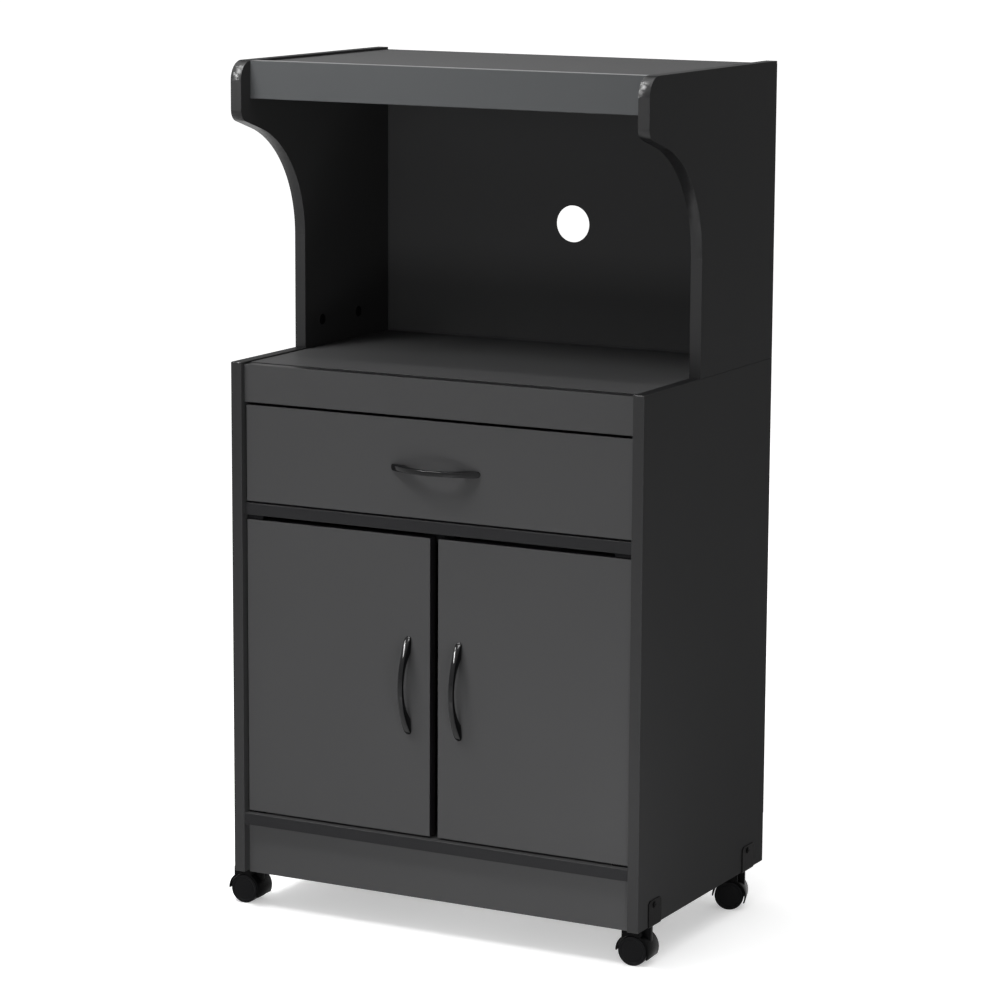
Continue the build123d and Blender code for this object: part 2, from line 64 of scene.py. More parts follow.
# Boards by the way their thickness runs
BOARDS_ACROSS = ("left_side_panel", "right_side_panel", "hutch_left_side", "hutch_right_side",
                 "drawer_left_side", "drawer_right_side")
BOARDS_DEEP = ("worktop_fascia", "toe_kick", "drawer_front", "drawer_back", "left_door_panel",
               "right_door_panel")
BOARDS_FLAT = ("worktop", "drawer_divider", "bottom_panel", "cupboard_shelf", "hutch_top")
SHEETS = ("lower_back_panel", "hutch_back_panel", "drawer_bottom")
ZINC_NODES = ("cabinet_runners", "drawer_runners", "shelf_brackets", "left_door_strike_plate",
              "right_door_strike_plate")
PULLS = (("left_door_handle", "left_door", (0, 0, 1)), ("right_door_handle", "right_door", (0, 0, 1)),
         ("drawer_handle", "drawer", (1, 0, 0)))


def corners(name):
    """A node's lowest and highest corners at rest, as arrays in millimetres."""
    return tuple(np.array(corner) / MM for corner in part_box(name))


# Sizes that settings or fittings start from, in millimetres, and two points in metres
PULL_SIZE = corners("drawer_handle")[1] - corners("drawer_handle")[0]
PULL_SPACING = 102.0
BRACKET_SCREW_DROP = 7.0
LOCK_DEPTHS = (13.4, 112.4)
LOCK_RISE = 34.0
STEM_RADIUS = 3.0
STEM_LENGTH = 2.5
AXLE_RADIUS = 2.5
HOOD_CLEARANCE = 0.3
AXLE_POINT = np.array(JOINTS["front_left_wheel_spin"]["pos_m"])
SWIVEL_POINT = np.array(JOINTS["front_left_caster_swivel"]["pos_m"])

# The photo's camera: yaw, pitch and roll in degrees, lens in millimetres, place in metres
CAMERA_TURNS = (-27.887, -10.291, 0.306)
CAMERA_LENS = 131.584
CAMERA_PLACE = (2.2710, -4.2994, 1.4481)

# Floor in metres, with the reach of its painted shadow under the object,
# and its colour as the camera and gloss see it and as light bounces off it
FLOOR_EXTENT = 40.0
PAINTED_SHADOW_REACH = 0.25
SEEN_TONE = (0.8, 0.8, 0.8, 1)
BOUNCED_TONE = (0.22, 0.22, 0.22, 1)
WHITE = (1, 1, 1, 1)

# Lamps that the gloss mirrors, and the one that lights nothing but gloss
MIRRORED_LAMPS = ("Key", "Strip", "Streak")
GLOSS_LAMP = "Streak"


# Node helpers

def link(tree, source, target):
    tree.links.new(source, target)


def feed(tree, value, socket):
    """A plain number becomes the socket's own value, and an output is linked to the socket."""
    if isinstance(value, (int, float)):
        socket.default_value = value
    else:
        link(tree, value, socket)


def node(tree, kind, **values):
    """A node of that kind. A value sets the property of its name, or else the socket of its name
    with underscores for spaces."""
    made = tree.nodes.new(kind)
    for name, value in values.items():
        if hasattr(made, name):
            setattr(made, name, value)
        else:
            made.inputs[name.replace("_", " ")].default_value = value
    return made


def group(name, inputs, outputs):
    """An empty node group with named sockets, and its input and output nodes."""
    tree = bpy.data.node_groups.new(name, "ShaderNodeTree")
    for label, kind, value in inputs:
        socket = tree.interface.new_socket(label, in_out="INPUT", socket_type=kind)
        if value is not None:
            socket.default_value = value
    for label, kind in outputs:
        tree.interface.new_socket(label, in_out="OUTPUT", socket_type=kind)
    return tree, tree.nodes.new("NodeGroupInput"), tree.nodes.new("NodeGroupOutput")


def use_group(tree, shared, **values):
    """A shared group in a material, with plain values on its sockets."""
    return node(tree, "ShaderNodeGroup", node_tree=shared, **values)


def material(name, **values):
    """A material with one Principled shader, whose plain values are set on its own sockets."""
    made = bpy.data.materials.new(name)
    made.use_nodes = True
    tree = made.node_tree
    shader = tree.nodes["Principled BSDF"]
    for label, value in values.items():
        shader.inputs[label.replace("_", " ")].default_value = value
    return made, tree, shader


def math_node(tree, operation, first, second=None):
    made = node(tree, "ShaderNodeMath", operation=operation)
    feed(tree, first, made.inputs[0])
    if second is not None:
        feed(tree, second, made.inputs[1])
    return made.outputs[0]


def noise(tree, coordinates, scale, detail):
    """Noise over the coordinates, whose scale is a number or an output."""
    made = node(tree, "ShaderNodeTexNoise", Detail=detail)
    link(tree, coordinates, made.inputs["Vector"])
    feed(tree, scale, made.inputs["Scale"])
    return made.outputs["Fac"]


def ranged(tree, value, start=0.0, end=1.0, low=0.0, high=1.0):
    """The value carried from start..end to low..high, and held at either end."""
    made = node(tree, "ShaderNodeMapRange", From_Min=start, From_Max=end, To_Min=low, To_Max=high)
    link(tree, value, made.inputs["Value"])
    return made.outputs["Result"]


# Shared effects

def surface_grain_group():
    """Fine moulded or rolled texture: a height for bump and a wandering tone around 1."""
    tree, given, out = group(
        "Surface Grain",
        [("Grain Scale", "NodeSocketFloat", 900.0), ("Tone Scale", "NodeSocketFloat", 6.0),
         ("Tone Range", "NodeSocketFloat", 0.05)],
        [("Height", "NodeSocketFloat"), ("Tone", "NodeSocketFloat")],
    )
    where = node(tree, "ShaderNodeTexCoord").outputs["Object"]
    fine = noise(tree, where, given.outputs["Grain Scale"], 3.0)
    broad = noise(tree, where, given.outputs["Tone Scale"], 4.0)
    swing = math_node(tree, "MULTIPLY", math_node(tree, "SUBTRACT", broad, 0.5), given.outputs["Tone Range"])
    link(tree, fine, out.inputs["Height"])
    link(tree, math_node(tree, "ADD", swing, 1.0), out.inputs["Tone"])
    return tree


def edge_mask_group():
    """1 on the faces that run round a board's edge, 0 on its two broad faces.
    The board's thickness runs along the given axis, in the piece's own space."""
    tree, given, out = group(
        "Board Edge Mask",
        [("Thickness Axis", "NodeSocketVector", (0.0, 0.0, 1.0))],
        [("Edge", "NodeSocketFloat")],
    )
    dot = node(tree, "ShaderNodeVectorMath", operation="DOT_PRODUCT")
    link(tree, node(tree, "ShaderNodeTexCoord").outputs["Normal"], dot.inputs[0])
    link(tree, given.outputs["Thickness Axis"], dot.inputs[1])
    along = math_node(tree, "ABSOLUTE", dot.outputs["Value"])
    link(tree, ranged(tree, along, 0.55, 0.45), out.inputs["Edge"])
    return tree


def tinted(tree, colour, factor):
    """A colour multiplied by a factor that changes over the surface."""
    made = node(tree, "ShaderNodeVectorMath", operation="SCALE")
    if hasattr(colour, "links"):
        link(tree, colour, made.inputs[0])
    else:
        made.inputs[0].default_value = colour[:3]
    link(tree, factor, made.inputs["Scale"])
    return made.outputs["Vector"]


def bumped(tree, shader, height, strength, distance):
    """Bump on the shader, whose distance is in metres."""
    made = node(tree, "ShaderNodeBump", Strength=strength, Distance=distance)
    link(tree, height, made.inputs["Height"])
    link(tree, made.outputs["Normal"], shader.inputs["Normal"])


# Finishes

def laminate(name, axis, look, groups, tape_gloss=0.0, level_gloss=0.0, lift=(1.0, 1.0, 1.0),
             painted_edge_sheen=1.0):
    """Board faced with smooth satin charcoal melamine, with darker and glossier tape on its edges.
    The tape's gloss is that of upright edges, and is faded to the level gloss on level ones. The lift
    paints the faces lighter as painted light, and the edge factor paints the tape lighter as a painted
    sheen."""
    made, tree, shader = material(name, Specular_IOR_Level=look.laminate_specular, Coat_Roughness=0.30,
                                  Coat_IOR=1.45)
    grain = use_group(tree, groups["grain"], Grain_Scale=1400.0, Tone_Scale=3.5, Tone_Range=0.10)
    edge = use_group(tree, groups["edge"], Thickness_Axis=axis).outputs["Edge"]
    # A lift above 1 paints the faces lighter: painted light
    face_colour = [channel * factor for channel, factor in zip(look.face_colour, lift)]
    # A factor above 1 paints the tape lighter: a painted sheen in place of gloss
    edge_colour = [channel * painted_edge_sheen for channel in look.edge_colour]
    colour = node(tree, "ShaderNodeMix", data_type="RGBA", A=(*face_colour, 1), B=(*edge_colour, 1))
    link(tree, edge, colour.inputs["Factor"])
    link(tree, tinted(tree, colour.outputs["Result"], grain.outputs["Tone"]), shader.inputs["Base Color"])
    link(tree, ranged(tree, grain.outputs["Height"], low=0.46, high=0.58), shader.inputs["Roughness"])
    # The tape is polished where it is pulled round an upper corner, and worn down on level edges
    if tape_gloss:
        normal = tree.nodes.new("ShaderNodeSeparateXYZ")
        link(tree, node(tree, "ShaderNodeTexCoord").outputs["Normal"], normal.inputs[0])
        worn = ranged(tree, normal.outputs["Z"], 0.96, 0.80, level_gloss)
        polish = ranged(tree, normal.outputs["Z"], 0.08, 0.40, tape_gloss)
        coat = math_node(tree, "MULTIPLY", math_node(tree, "MULTIPLY", worn, edge), polish)
        link(tree, coat, shader.inputs["Coat Weight"])
    # The tape is smoother than the faces
    height = math_node(tree, "MULTIPLY", grain.outputs["Height"], ranged(tree, edge, low=1.0, high=0.25))
    bumped(tree, shader, height, 0.12, 0.0004)
    return made


def hardboard(name, look, groups):
    """Thin pressed board with a matt charcoal print over a fine screen weave."""
    made, tree, shader = material(name, Specular_IOR_Level=look.laminate_specular)
    grain = use_group(tree, groups["grain"], Grain_Scale=1100.0, Tone_Scale=5.0, Tone_Range=0.14)
    link(tree, tinted(tree, look.sheet_colour, grain.outputs["Tone"]), shader.inputs["Base Color"])
    link(tree, ranged(tree, grain.outputs["Height"], low=0.55, high=0.7), shader.inputs["Roughness"])
    bumped(tree, shader, grain.outputs["Height"], 0.2, 0.0005)
    return made


def moulded(name, colour, roughness, groups, grain_scale=1500.0, bump=0.15, **values):
    """Moulded plastic or coated metal with a fine even grain."""
    made, tree, shader = material(name, **values)
    grain = use_group(tree, groups["grain"], Grain_Scale=grain_scale, Tone_Scale=25.0, Tone_Range=0.2)
    link(tree, tinted(tree, colour, grain.outputs["Tone"]), shader.inputs["Base Color"])
    low, high = roughness
    link(tree, ranged(tree, grain.outputs["Height"], low=low, high=high), shader.inputs["Roughness"])
    bumped(tree, shader, grain.outputs["Height"], bump, 0.0003)
    return made


def zinc(name, groups):
    """Rolled steel with bright zinc: stretched fine lines and a wandering spangle."""
    made, tree, shader = material(name, Metallic=1.0)
    where = node(tree, "ShaderNodeTexCoord").outputs["Object"]
    mapping = node(tree, "ShaderNodeMapping", Scale=(1.0, 0.04, 1.0))
    link(tree, where, mapping.inputs["Vector"])
    lines = noise(tree, mapping.outputs["Vector"], 2600.0, 2.0)
    grain = use_group(tree, groups["grain"], Grain_Scale=300.0, Tone_Scale=60.0, Tone_Range=0.25)
    link(tree, tinted(tree, (0.56, 0.57, 0.58), grain.outputs["Tone"]), shader.inputs["Base Color"])
    link(tree, ranged(tree, lines, low=0.25, high=0.42), shader.inputs["Roughness"])
    bumped(tree, shader, lines, 0.08, 0.0002)
    return made


# Surfaces

def mesh_piece(name, points, faces, body, finish, replaces=()):
    """A piece from arrays of points in metres and faces, riding on a body."""
    mesh = bpy.data.meshes.new(name)
    mesh.from_pydata(points.tolist(), [], faces)
    mesh.validate()
    mesh.polygons.foreach_set("use_smooth", np.full(len(mesh.polygons), True))
    piece = bpy.data.objects.new(name, mesh)
    bpy.context.scene.collection.objects.link(piece)
    mesh.materials.append(finish)
    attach(piece, body)
    if replaces:
        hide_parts(*replaces)
    return piece


def grid_faces(rows, columns):
    """Quads between the rows of a grid, each row of which closes on itself."""
    row = np.arange(rows - 1)[:, None] * columns
    here = np.arange(columns)[None, :]
    after = (here + 1) % columns
    quads = np.stack(np.broadcast_arrays(row + here, row + after, row + columns + after,
                                         row + columns + here), axis=-1)
    return quads.reshape(-1, 4).tolist()


def tube(sections):
    """Closed skin over sections, an array of rows by points by 3, with a face on each end."""
    rows, columns = sections.shape[:2]
    faces = grid_faces(rows, columns)
    faces.append(list(range(columns))[::-1])
    faces.append(list(range((rows - 1) * columns, rows * columns)))
    return sections.reshape(-1, 3), faces


def joined(parts):
    """Several (points, faces) pairs as one."""
    points, faces, start = [], [], 0
    for some_points, some_faces in parts:
        points.append(some_points)
        faces += [[index + start for index in face] for face in some_faces]
        start += len(some_points)
    return np.concatenate(points), faces


def placed(points, origin, x_axis, y_axis):
    """Points from a local frame in millimetres to the row frame in metres."""
    x_axis = np.asarray(x_axis, float)
    y_axis = np.asarray(y_axis, float)
    z_axis = np.cross(x_axis, y_axis)
    turned = points[..., :1] * x_axis + points[..., 1:2] * y_axis + points[..., 2:3] * z_axis
    return (turned + np.asarray(origin, float)) * MM


def outward(piece):
    """Turns every face of a closed piece outward."""
    work = bmesh.new()
    work.from_mesh(piece.data)
    bmesh.ops.remove_doubles(work, verts=work.verts, dist=1e-7)
    bmesh.ops.recalc_face_normals(work, faces=work.faces)
    work.to_mesh(piece.data)
    work.free()
    return piece


def sharpened(piece, degrees=40.0):
    """Keeps edges sharper than this crisp while the rest shades smoothly."""
    piece.data.set_sharp_from_angle(angle=math.radians(degrees))


def lathe(profile, segments):
    """Points of (radius, height) turned about the local Z: x is radius times cosine and
    y radius times sine of the turn. The profile starts and ends on the axis."""
    profile = np.asarray(profile, float)
    turn = np.linspace(0, 2 * np.pi, segments, endpoint=False)
    ring = np.stack([np.cos(turn), np.sin(turn)], axis=-1)
    points = np.empty((len(profile), segments, 3))
    points[..., :2] = profile[:, None, :1] * ring[None]
    points[..., 2] = profile[:, None, 1]
    return points.reshape(-1, 3), grid_faces(len(profile), segments)


def rounded_steps(line, radius, steps):
    """A polyline with each inner corner replaced by an arc-like curve: at a corner, points move
    along the quadratic curve whose control point is the corner itself."""
    line = np.asarray(line, float)
    radii = np.broadcast_to(radius, len(line))
    made = [line[0]]
    for index in range(1, len(line) - 1):
        before, here, after = line[index - 1:index + 2]
        back, ahead = np.linalg.norm(before - here), np.linalg.norm(after - here)
        reach = min(radii[index], back / 2.01, ahead / 2.01)
        start = here + (before - here) / back * reach
        end = here + (after - here) / ahead * reach
        t = np.linspace(0, 1, steps + 1)[:, None]
        made.extend((1 - t) ** 2 * start + 2 * t * (1 - t) * here + t**2 * end)
    made.append(line[-1])
    return np.array(made)


def superellipse(half_width, half_height, power, count):
    """Points round |x/a|^n + |y/b|^n = 1, by the signed power of cosine and sine."""
    t = np.linspace(0, 2 * np.pi, count, endpoint=False)
    c, s = np.cos(t), np.sin(t)
    x = half_width * np.sign(c) * np.abs(c) ** (2 / power)
    y = half_height * np.sign(s) * np.abs(s) ** (2 / power)
    return np.stack([x, y], axis=-1)


def screw_head(radius, height):
    """A pan head turned from a profile, with a shallow round recess sunk in its crown."""
    recess = radius * 0.55
    profile = rounded_steps(
        [(0, height * 0.45), (recess * 0.45, height * 0.45), (recess * 0.6, height * 0.92),
         (radius * 0.72, height), (radius, height * 0.35), (radius, 0), (0, 0)],
        height * 0.35, 3)
    return lathe(profile, 28)


# Settings

class CabinetFinish(bpy.types.PropertyGroup):
    face_colour: FloatVectorProperty(
        name="Face colour", description="Colour of the laminate on the broad faces",
        default=(0.060, 0.060, 0.061), size=3, subtype="COLOR", min=0, max=1)
    edge_colour: FloatVectorProperty(
        name="Edge colour", description="Colour of the tape round the boards' edges",
        default=(0.012, 0.012, 0.0125), size=3, subtype="COLOR", min=0, max=1)
    sheet_colour: FloatVectorProperty(
        name="Sheet colour", description="Colour of the thin hardboard sheets",
        default=(0.055, 0.055, 0.056), size=3, subtype="COLOR", min=0, max=1)
    laminate_specular: FloatProperty(
        name="Laminate specular", description="Strength of the laminate's sheen",
        default=0.01, min=0, max=1, subtype="FACTOR")
    edge_radius: FloatProperty(
        name="Edge radius", description="Rounding of the boards' edges",
        default=0.0008, min=0.0001, max=0.003, subtype="DISTANCE", unit="LENGTH")


class CabinetHandles(bpy.types.PropertyGroup):
    length: FloatProperty(
        name="Length", description="Length of a pull over its tips",
        default=PULL_SIZE[0] * MM, min=0.05, max=0.2, subtype="DISTANCE", unit="LENGTH")
    width: FloatProperty(
        name="Width", description="Width of a pull across its feet",
        default=PULL_SIZE[2] * MM, min=0.004, max=0.02, subtype="DISTANCE", unit="LENGTH")
    projection: FloatProperty(
        name="Projection", description="How far the bow stands out of the face",
        default=PULL_SIZE[1] * MM, min=0.01, max=0.05, subtype="DISTANCE", unit="LENGTH")
    waist: FloatProperty(
        name="Waist", description="Thickness of the bow at its middle",
        default=0.006, min=0.003, max=0.01, subtype="DISTANCE", unit="LENGTH")
    foot: FloatProperty(
        name="Foot", description="Length of each foot on the face",
        default=0.022, min=0.008, max=0.04, subtype="DISTANCE", unit="LENGTH")
    tip: FloatProperty(
        name="Tip", description="Thickness of a foot at its tip",
        default=0.0016, min=0.0005, max=0.004, subtype="DISTANCE", unit="LENGTH")


class CabinetCasters(bpy.types.PropertyGroup):
    wheel_radius: FloatProperty(
        name="Wheel radius", description="Radius of the twin wheels",
        default=AXLE_POINT[2], min=0.01, max=0.04, subtype="DISTANCE", unit="LENGTH")
    trail: FloatProperty(
        name="Trail", description="How far the axle trails behind the swivel",
        default=np.linalg.norm((AXLE_POINT - SWIVEL_POINT)[:2]), min=0.005, max=0.03,
        subtype="DISTANCE", unit="LENGTH")
    hood_width: FloatProperty(
        name="Hood width", description="Width of a hood over both wheels",
        default=0.038, min=0.02, max=0.06, subtype="DISTANCE", unit="LENGTH")
    hood_wall: FloatProperty(
        name="Hood wall", description="Thickness of a hood's wall",
        default=0.0022, min=0.001, max=0.004, subtype="DISTANCE", unit="LENGTH")
    segments: IntProperty(
        name="Segments", description="Faces round a wheel", default=96, min=24, max=256)


class CabinetStage(bpy.types.PropertyGroup):
    key_power: FloatProperty(
        name="Key light", description="Power of the soft light above the front left",
        default=24.5, min=0, subtype="POWER", unit="POWER")
    fill_power: FloatProperty(
        name="Fill light", description="Power of each of the wide lights in front and behind",
        default=31.0, min=0, subtype="POWER", unit="POWER")
    low_power: FloatProperty(
        name="Low light", description="Power of the light near the floor in front",
        default=12.0, min=0, subtype="POWER", unit="POWER")
    foot_power: FloatProperty(
        name="Foot light", description="Power of the small light close to the doors' foot",
        default=2.8, min=0, subtype="POWER", unit="POWER")
    corner_power: FloatProperty(
        name="Corner light", description="Power of the small light close to the front right corner",
        default=1.9, min=0, subtype="POWER", unit="POWER")
    strip_power: FloatProperty(
        name="Strip light", description="Power of the narrow light overhead that draws the highlights",
        default=6.0, min=0, subtype="POWER", unit="POWER")
    streak_power: FloatProperty(
        name="Streak light", description="Power of the tall narrow light at the left, seen in gloss alone",
        default=20.0, min=0, subtype="POWER", unit="POWER")
    overhead: FloatProperty(
        name="Overhead light", description="Strength of the even light from straight above",
        default=0.80, min=0, max=10)
    ambient: FloatProperty(
        name="Ambient", description="Brightness of the room as the object sees it",
        default=0.11, min=0, max=1, subtype="FACTOR")
    # The floor's lift in its painted shadow, where the object stands right above it
    painted_shadow_lift: FloatProperty(
        name="Floor lift", description="How white the floor looks where something stands right on it",
        default=0.32, min=0, max=1, subtype="FACTOR")
    open_lift: FloatProperty(
        name="Open floor lift", description="How white the open floor looks before any light falls on it",
        default=0.80, min=0, max=1, subtype="FACTOR")


# Operators

def finishes():
    """The finishes by name, made once."""
    made = bpy.context.scene.get("cabinet_finishes")
    if made:
        return {name: bpy.data.materials[name] for name in made}
    look = bpy.context.scene.cabinet_finish
    groups = {"grain": surface_grain_group(), "edge": edge_mask_group()}
    everything = [
        laminate("Laminate across", (1, 0, 0), look, groups, 0.55, 0.06),
        laminate("Laminate deep", (0, 1, 0), look, groups, 0.75, 0.3),
        # The level boards' tape has no gloss and is painted twice as light instead: a painted sheen
        laminate("Laminate flat", (0, 0, 1), look, groups, painted_edge_sheen=2.0),
        # The hutch fascia's faces are painted lighter and a little bluer: painted light and sheen on this
        # high board
        laminate("Laminate hutch fascia painted light", (0, 1, 0), look, groups, 0.75, 0.8, (1.46, 1.51, 1.53)),
        hardboard("Hardboard", look, groups),
        moulded("Gloss black enamel", (0.003, 0.003, 0.0035), (0.10, 0.16), groups, 700.0, 0.03,
                Specular_IOR_Level=0.05, Coat_Weight=0.3, Coat_Roughness=0.07),
        moulded("Black powder coat", (0.0045, 0.0042, 0.0044), (0.34, 0.5), groups, 1200.0, 0.3,
                Specular_IOR_Level=0.02),
        moulded("Hood plastic", (0.003, 0.003, 0.0032), (0.22, 0.34), groups, Specular_IOR_Level=0.025),
        moulded("Wheel plastic", (0.0075, 0.0075, 0.008), (0.30, 0.42), groups, Specular_IOR_Level=0.03),
        moulded("Catch plastic", (0.004, 0.004, 0.0044), (0.45, 0.6), groups, Specular_IOR_Level=0.04),
        moulded("Nylon", (0.72, 0.71, 0.67), (0.35, 0.5), groups, Subsurface_Weight=0.1),
        zinc("Zinc plate", groups),
    ]
    bpy.context.scene["cabinet_finishes"] = [entry.name for entry in everything]
    return {entry.name: entry for entry in everything}


def dressed(name, finish, radius, segments=2):
    """Gives a node of the frame its finish and slightly rounded edges."""
    piece = frame["nodes"][name]
    piece.data.materials.clear()
    piece.data.materials.append(finish)
    weld = piece.modifiers.new("Weld", "WELD")
    weld.merge_threshold = 1e-6
    bevel = piece.modifiers.new("Edge", "BEVEL")
    bevel.width = radius
    bevel.segments = segments
    bevel.limit_method = "ANGLE"
    bevel.angle_limit = math.radians(35)
    bevel.harden_normals = True


class CABINET_OT_boards(bpy.types.Operator):
    """Gives the boards and sheets their laminate, with softly rounded edges"""

    bl_idname = "cabinet.boards"
    bl_label = "Dress Boards"

    def execute(self, context):
        made = finishes()
        radius = context.scene.cabinet_finish.edge_radius
        for names, finish in ((BOARDS_ACROSS, "Laminate across"), (BOARDS_DEEP, "Laminate deep"),
                              (BOARDS_FLAT, "Laminate flat")):
            for name in names:
                dressed(name, made[finish], radius)
        dressed("hutch_fascia", made["Laminate hutch fascia painted light"], radius)
        for name in SHEETS:
            dressed(name, made["Hardboard"], radius / 2, 1)
        return {"FINISHED"}


class CABINET_OT_hardware(bpy.types.Operator):
    """Gives the runners, rollers, pivots, catch and angles their metal and plastic"""

    bl_idname = "cabinet.hardware"
    bl_label = "Dress Hardware"

    def execute(self, context):
        made = finishes()
        for name in ZINC_NODES:
            dressed(name, made["Zinc plate"], 0.0002, 1)
        for name in ("front_rollers", "rear_rollers"):
            dressed(name, made["Nylon"], 0.0004)
        dressed("magnetic_catch", made["Catch plastic"], 0.0008)
        dressed("door_pivot_blocks", made["Catch plastic"], 0.0003)
        for name in ("left_door_pivot_plates", "right_door_pivot_plates"):
            dressed(name, made["Black powder coat"], 0.0002, 1)
        for caster in CASTERS:
            dressed(f"{caster}_caster_bracket", made["Black powder coat"], 0.0006)
        return {"FINISHED"}


def bow(sizes):
    """The skin of a bow pull, in millimetres. Along the pull x, the outer height is a circle's arc
    from the tips over the middle, the inner height is a flatter arc between the feet and 0 under
    them, and each section is a superellipse of a high power that spans the two heights and the
    breadth. The breadth swells toward the feet by a bell curve and closes over each tip in plan
    by a quarter ellipse."""
    length, width, projection = sizes.length / MM, sizes.width / MM, sizes.projection / MM
    half, tip, waist, foot = length / 2, sizes.tip / MM, sizes.waist / MM, sizes.foot / MM
    nose_length, swell_inset, swell_spread, slim = 4.0, 9.0, 16.0, 0.82
    rise = projection - tip
    outer_radius = (half**2 + rise**2) / (2 * rise)
    inner_half, inner_rise = half - foot, projection - waist
    inner_radius = (inner_half**2 + inner_rise**2) / (2 * inner_rise)
    x = -half * np.cos(np.linspace(0, np.pi, 121))
    outer = np.sqrt(outer_radius**2 - x**2) - outer_radius + projection
    inside = np.clip(inner_radius**2 - x**2, 0, None)
    inner = np.clip(np.sqrt(inside) - inner_radius + inner_rise, 0, None)
    nose = np.clip((np.abs(x) - half + nose_length) / nose_length, 0, 1)
    plan = np.sqrt(np.clip(1 - nose**2, 0, 1))
    swell = np.exp(-(((np.abs(x) - (half - swell_inset)) / swell_spread) ** 2))
    breadth = width * (slim + (1 - slim) * swell) * plan
    height = (outer - inner) * (0.3 + 0.7 * plan) * (plan > 0)
    ring = superellipse(0.5, 0.5, 4.5, 40)
    points = np.empty((len(x), len(ring), 3))
    points[..., 0] = x[:, None]
    points[..., 1] = inner[:, None] + height[:, None] * (ring[None, :, 1] + 0.5)
    points[..., 2] = breadth[:, None] * ring[None, :, 0]
    return points.reshape(-1, 3), grid_faces(len(x), len(ring))


class CABINET_OT_handles(bpy.types.Operator):
    """Builds the three bow pulls as rounded skins in black gloss"""

    bl_idname = "cabinet.handles"
    bl_label = "Build Pulls"

    def execute(self, context):
        made = finishes()
        points, faces = bow(context.scene.cabinet_handles)
        for name, body, along in PULLS:
            low, high = corners(name)
            centre = (low + high) / 2
            centre[1] = high[1]
            skin = placed(points, centre, along, (0, -1, 0))
            outward(mesh_piece(f"{name}_bow", skin, faces, body, made["Gloss black enamel"],
                               replaces=(name,)))
        return {"FINISHED"}


def caster_place(name):
    """A caster's swivel point on the floor and the level direction of its side plane along the trail."""
    swivel = np.array(JOINTS[f"{name}_caster_swivel"]["pos_m"]) / MM
    wheel = np.array(JOINTS[f"{name}_wheel_spin"]["pos_m"]) / MM
    trail = wheel - swivel
    trail[2] = 0
    trail = trail / np.linalg.norm(trail)
    return np.array([swivel[0], swivel[1], 0]), trail


def hood_skin(trail, radius, top, half, wall):
    """The hood over both wheels. In the side plane its outer line is a circle's arc about the axle
    from the heel, then the level-topped saddle, then the arc again down to the stem side. Each
    point of that line is joined to the inner circle in the same direction from the axle. Across
    the hood the line is drawn in along its normal near both lips, which rounds them."""
    tread_gap = 1.3
    inner, outer, rise = radius + tread_gap, radius + tread_gap + wall, top - radius
    heel_reach, heel_drop, stem_reach, stem_drop = 15.0, 0.5, 11.5, 10.0
    heel_turn = np.linspace(math.asin(-heel_drop / outer), math.acos(heel_reach / outer), 16)
    stem_turn = np.linspace(math.pi - math.acos(stem_reach / outer),
                            math.pi + math.asin(stem_drop / outer), 28)
    crown = rounded_steps([(heel_reach, outer * math.sin(heel_turn[-1])), (heel_reach, rise),
                           (-stem_reach, rise), (-stem_reach, outer * math.sin(stem_turn[0]))], 1.8, 5)
    level = np.stack([np.linspace(heel_reach - 3, 3 - stem_reach, 9), np.full(9, rise)], axis=-1)
    line = np.concatenate([
        outer * np.stack([np.cos(heel_turn), np.sin(heel_turn)], axis=-1), crown[1:7], level, crown[7:-1],
        outer * np.stack([np.cos(stem_turn), np.sin(stem_turn)], axis=-1)])
    along = np.gradient(line, axis=0)
    along /= np.linalg.norm(along, axis=1, keepdims=True)
    normal = np.stack([along[:, 1], -along[:, 0]], axis=-1)
    ray = line / np.linalg.norm(line, axis=1, keepdims=True)
    lips = ((-half, 1.0), (0.3 - half, 0.3), (1.0 - half, 0.0), (0.0, 0.0), (half - 1.0, 0.0),
            (half - 0.3, 0.3), (half, 1.0))
    under = ((half, 0.0), (half - 0.8, 0.0), (half - 1.2, 0.35), (0.0, 0.4), (1.2 - half, 0.35),
             (0.8 - half, 0.0), (-half, 0.0))
    points = np.empty((len(line), len(lips) + len(under), 3))
    for index, (across, draw) in enumerate(lips):
        points[:, index, :2] = line - normal * draw
        points[:, index, 2] = across
    for index, (across, lift) in enumerate(under, len(lips)):
        points[:, index, :2] = ray * (inner + lift)
        points[:, index, 2] = across
    points[..., 0] += trail
    points[..., 1] += radius
    return tube(points)


def neck_skin(trail, radius, top):
    """The neck round the swivel stem: level superellipses, the lowest of which is lifted point by
    point onto the circle of the hood's inner wall."""
    ring = superellipse(6.5, 6.5, 3.5, 40)
    foot = radius + np.sqrt((radius + 1.8) ** 2 - (trail - ring[:, 0]) ** 2)
    points = np.empty((4, len(ring), 3))
    for index, (share, draw) in enumerate(((0.0, 1.0), (0.9, 1.0), (0.97, 0.98), (1.0, 0.93))):
        points[index, :, 0] = ring[:, 0] * draw
        points[index, :, 1] = foot + (top - foot) * share
        points[index, :, 2] = ring[:, 1] * draw
    return tube(points)


def web_skin(trail, radius):
    """The web between the wheels: a flat five-sided plate round the axle, up into the hood."""
    reach, half = 6.5, 2.4
    outline = np.array([(-6.5, radius + reach), (trail - reach, radius - reach),
                        (trail + reach, radius - reach), (trail + reach, radius + 20.5),
                        (-4.0, radius + 17.0)])
    points = np.empty((2, len(outline), 3))
    points[..., :2] = outline
    points[0, :, 2] = -half
    points[1, :, 2] = half
    return tube(points)


def rod(radius, start, end):
    """A rod along the local Z from start to end, as points and faces."""
    return lathe([(0, start), (radius, start), (radius, end), (0, end)], 32)


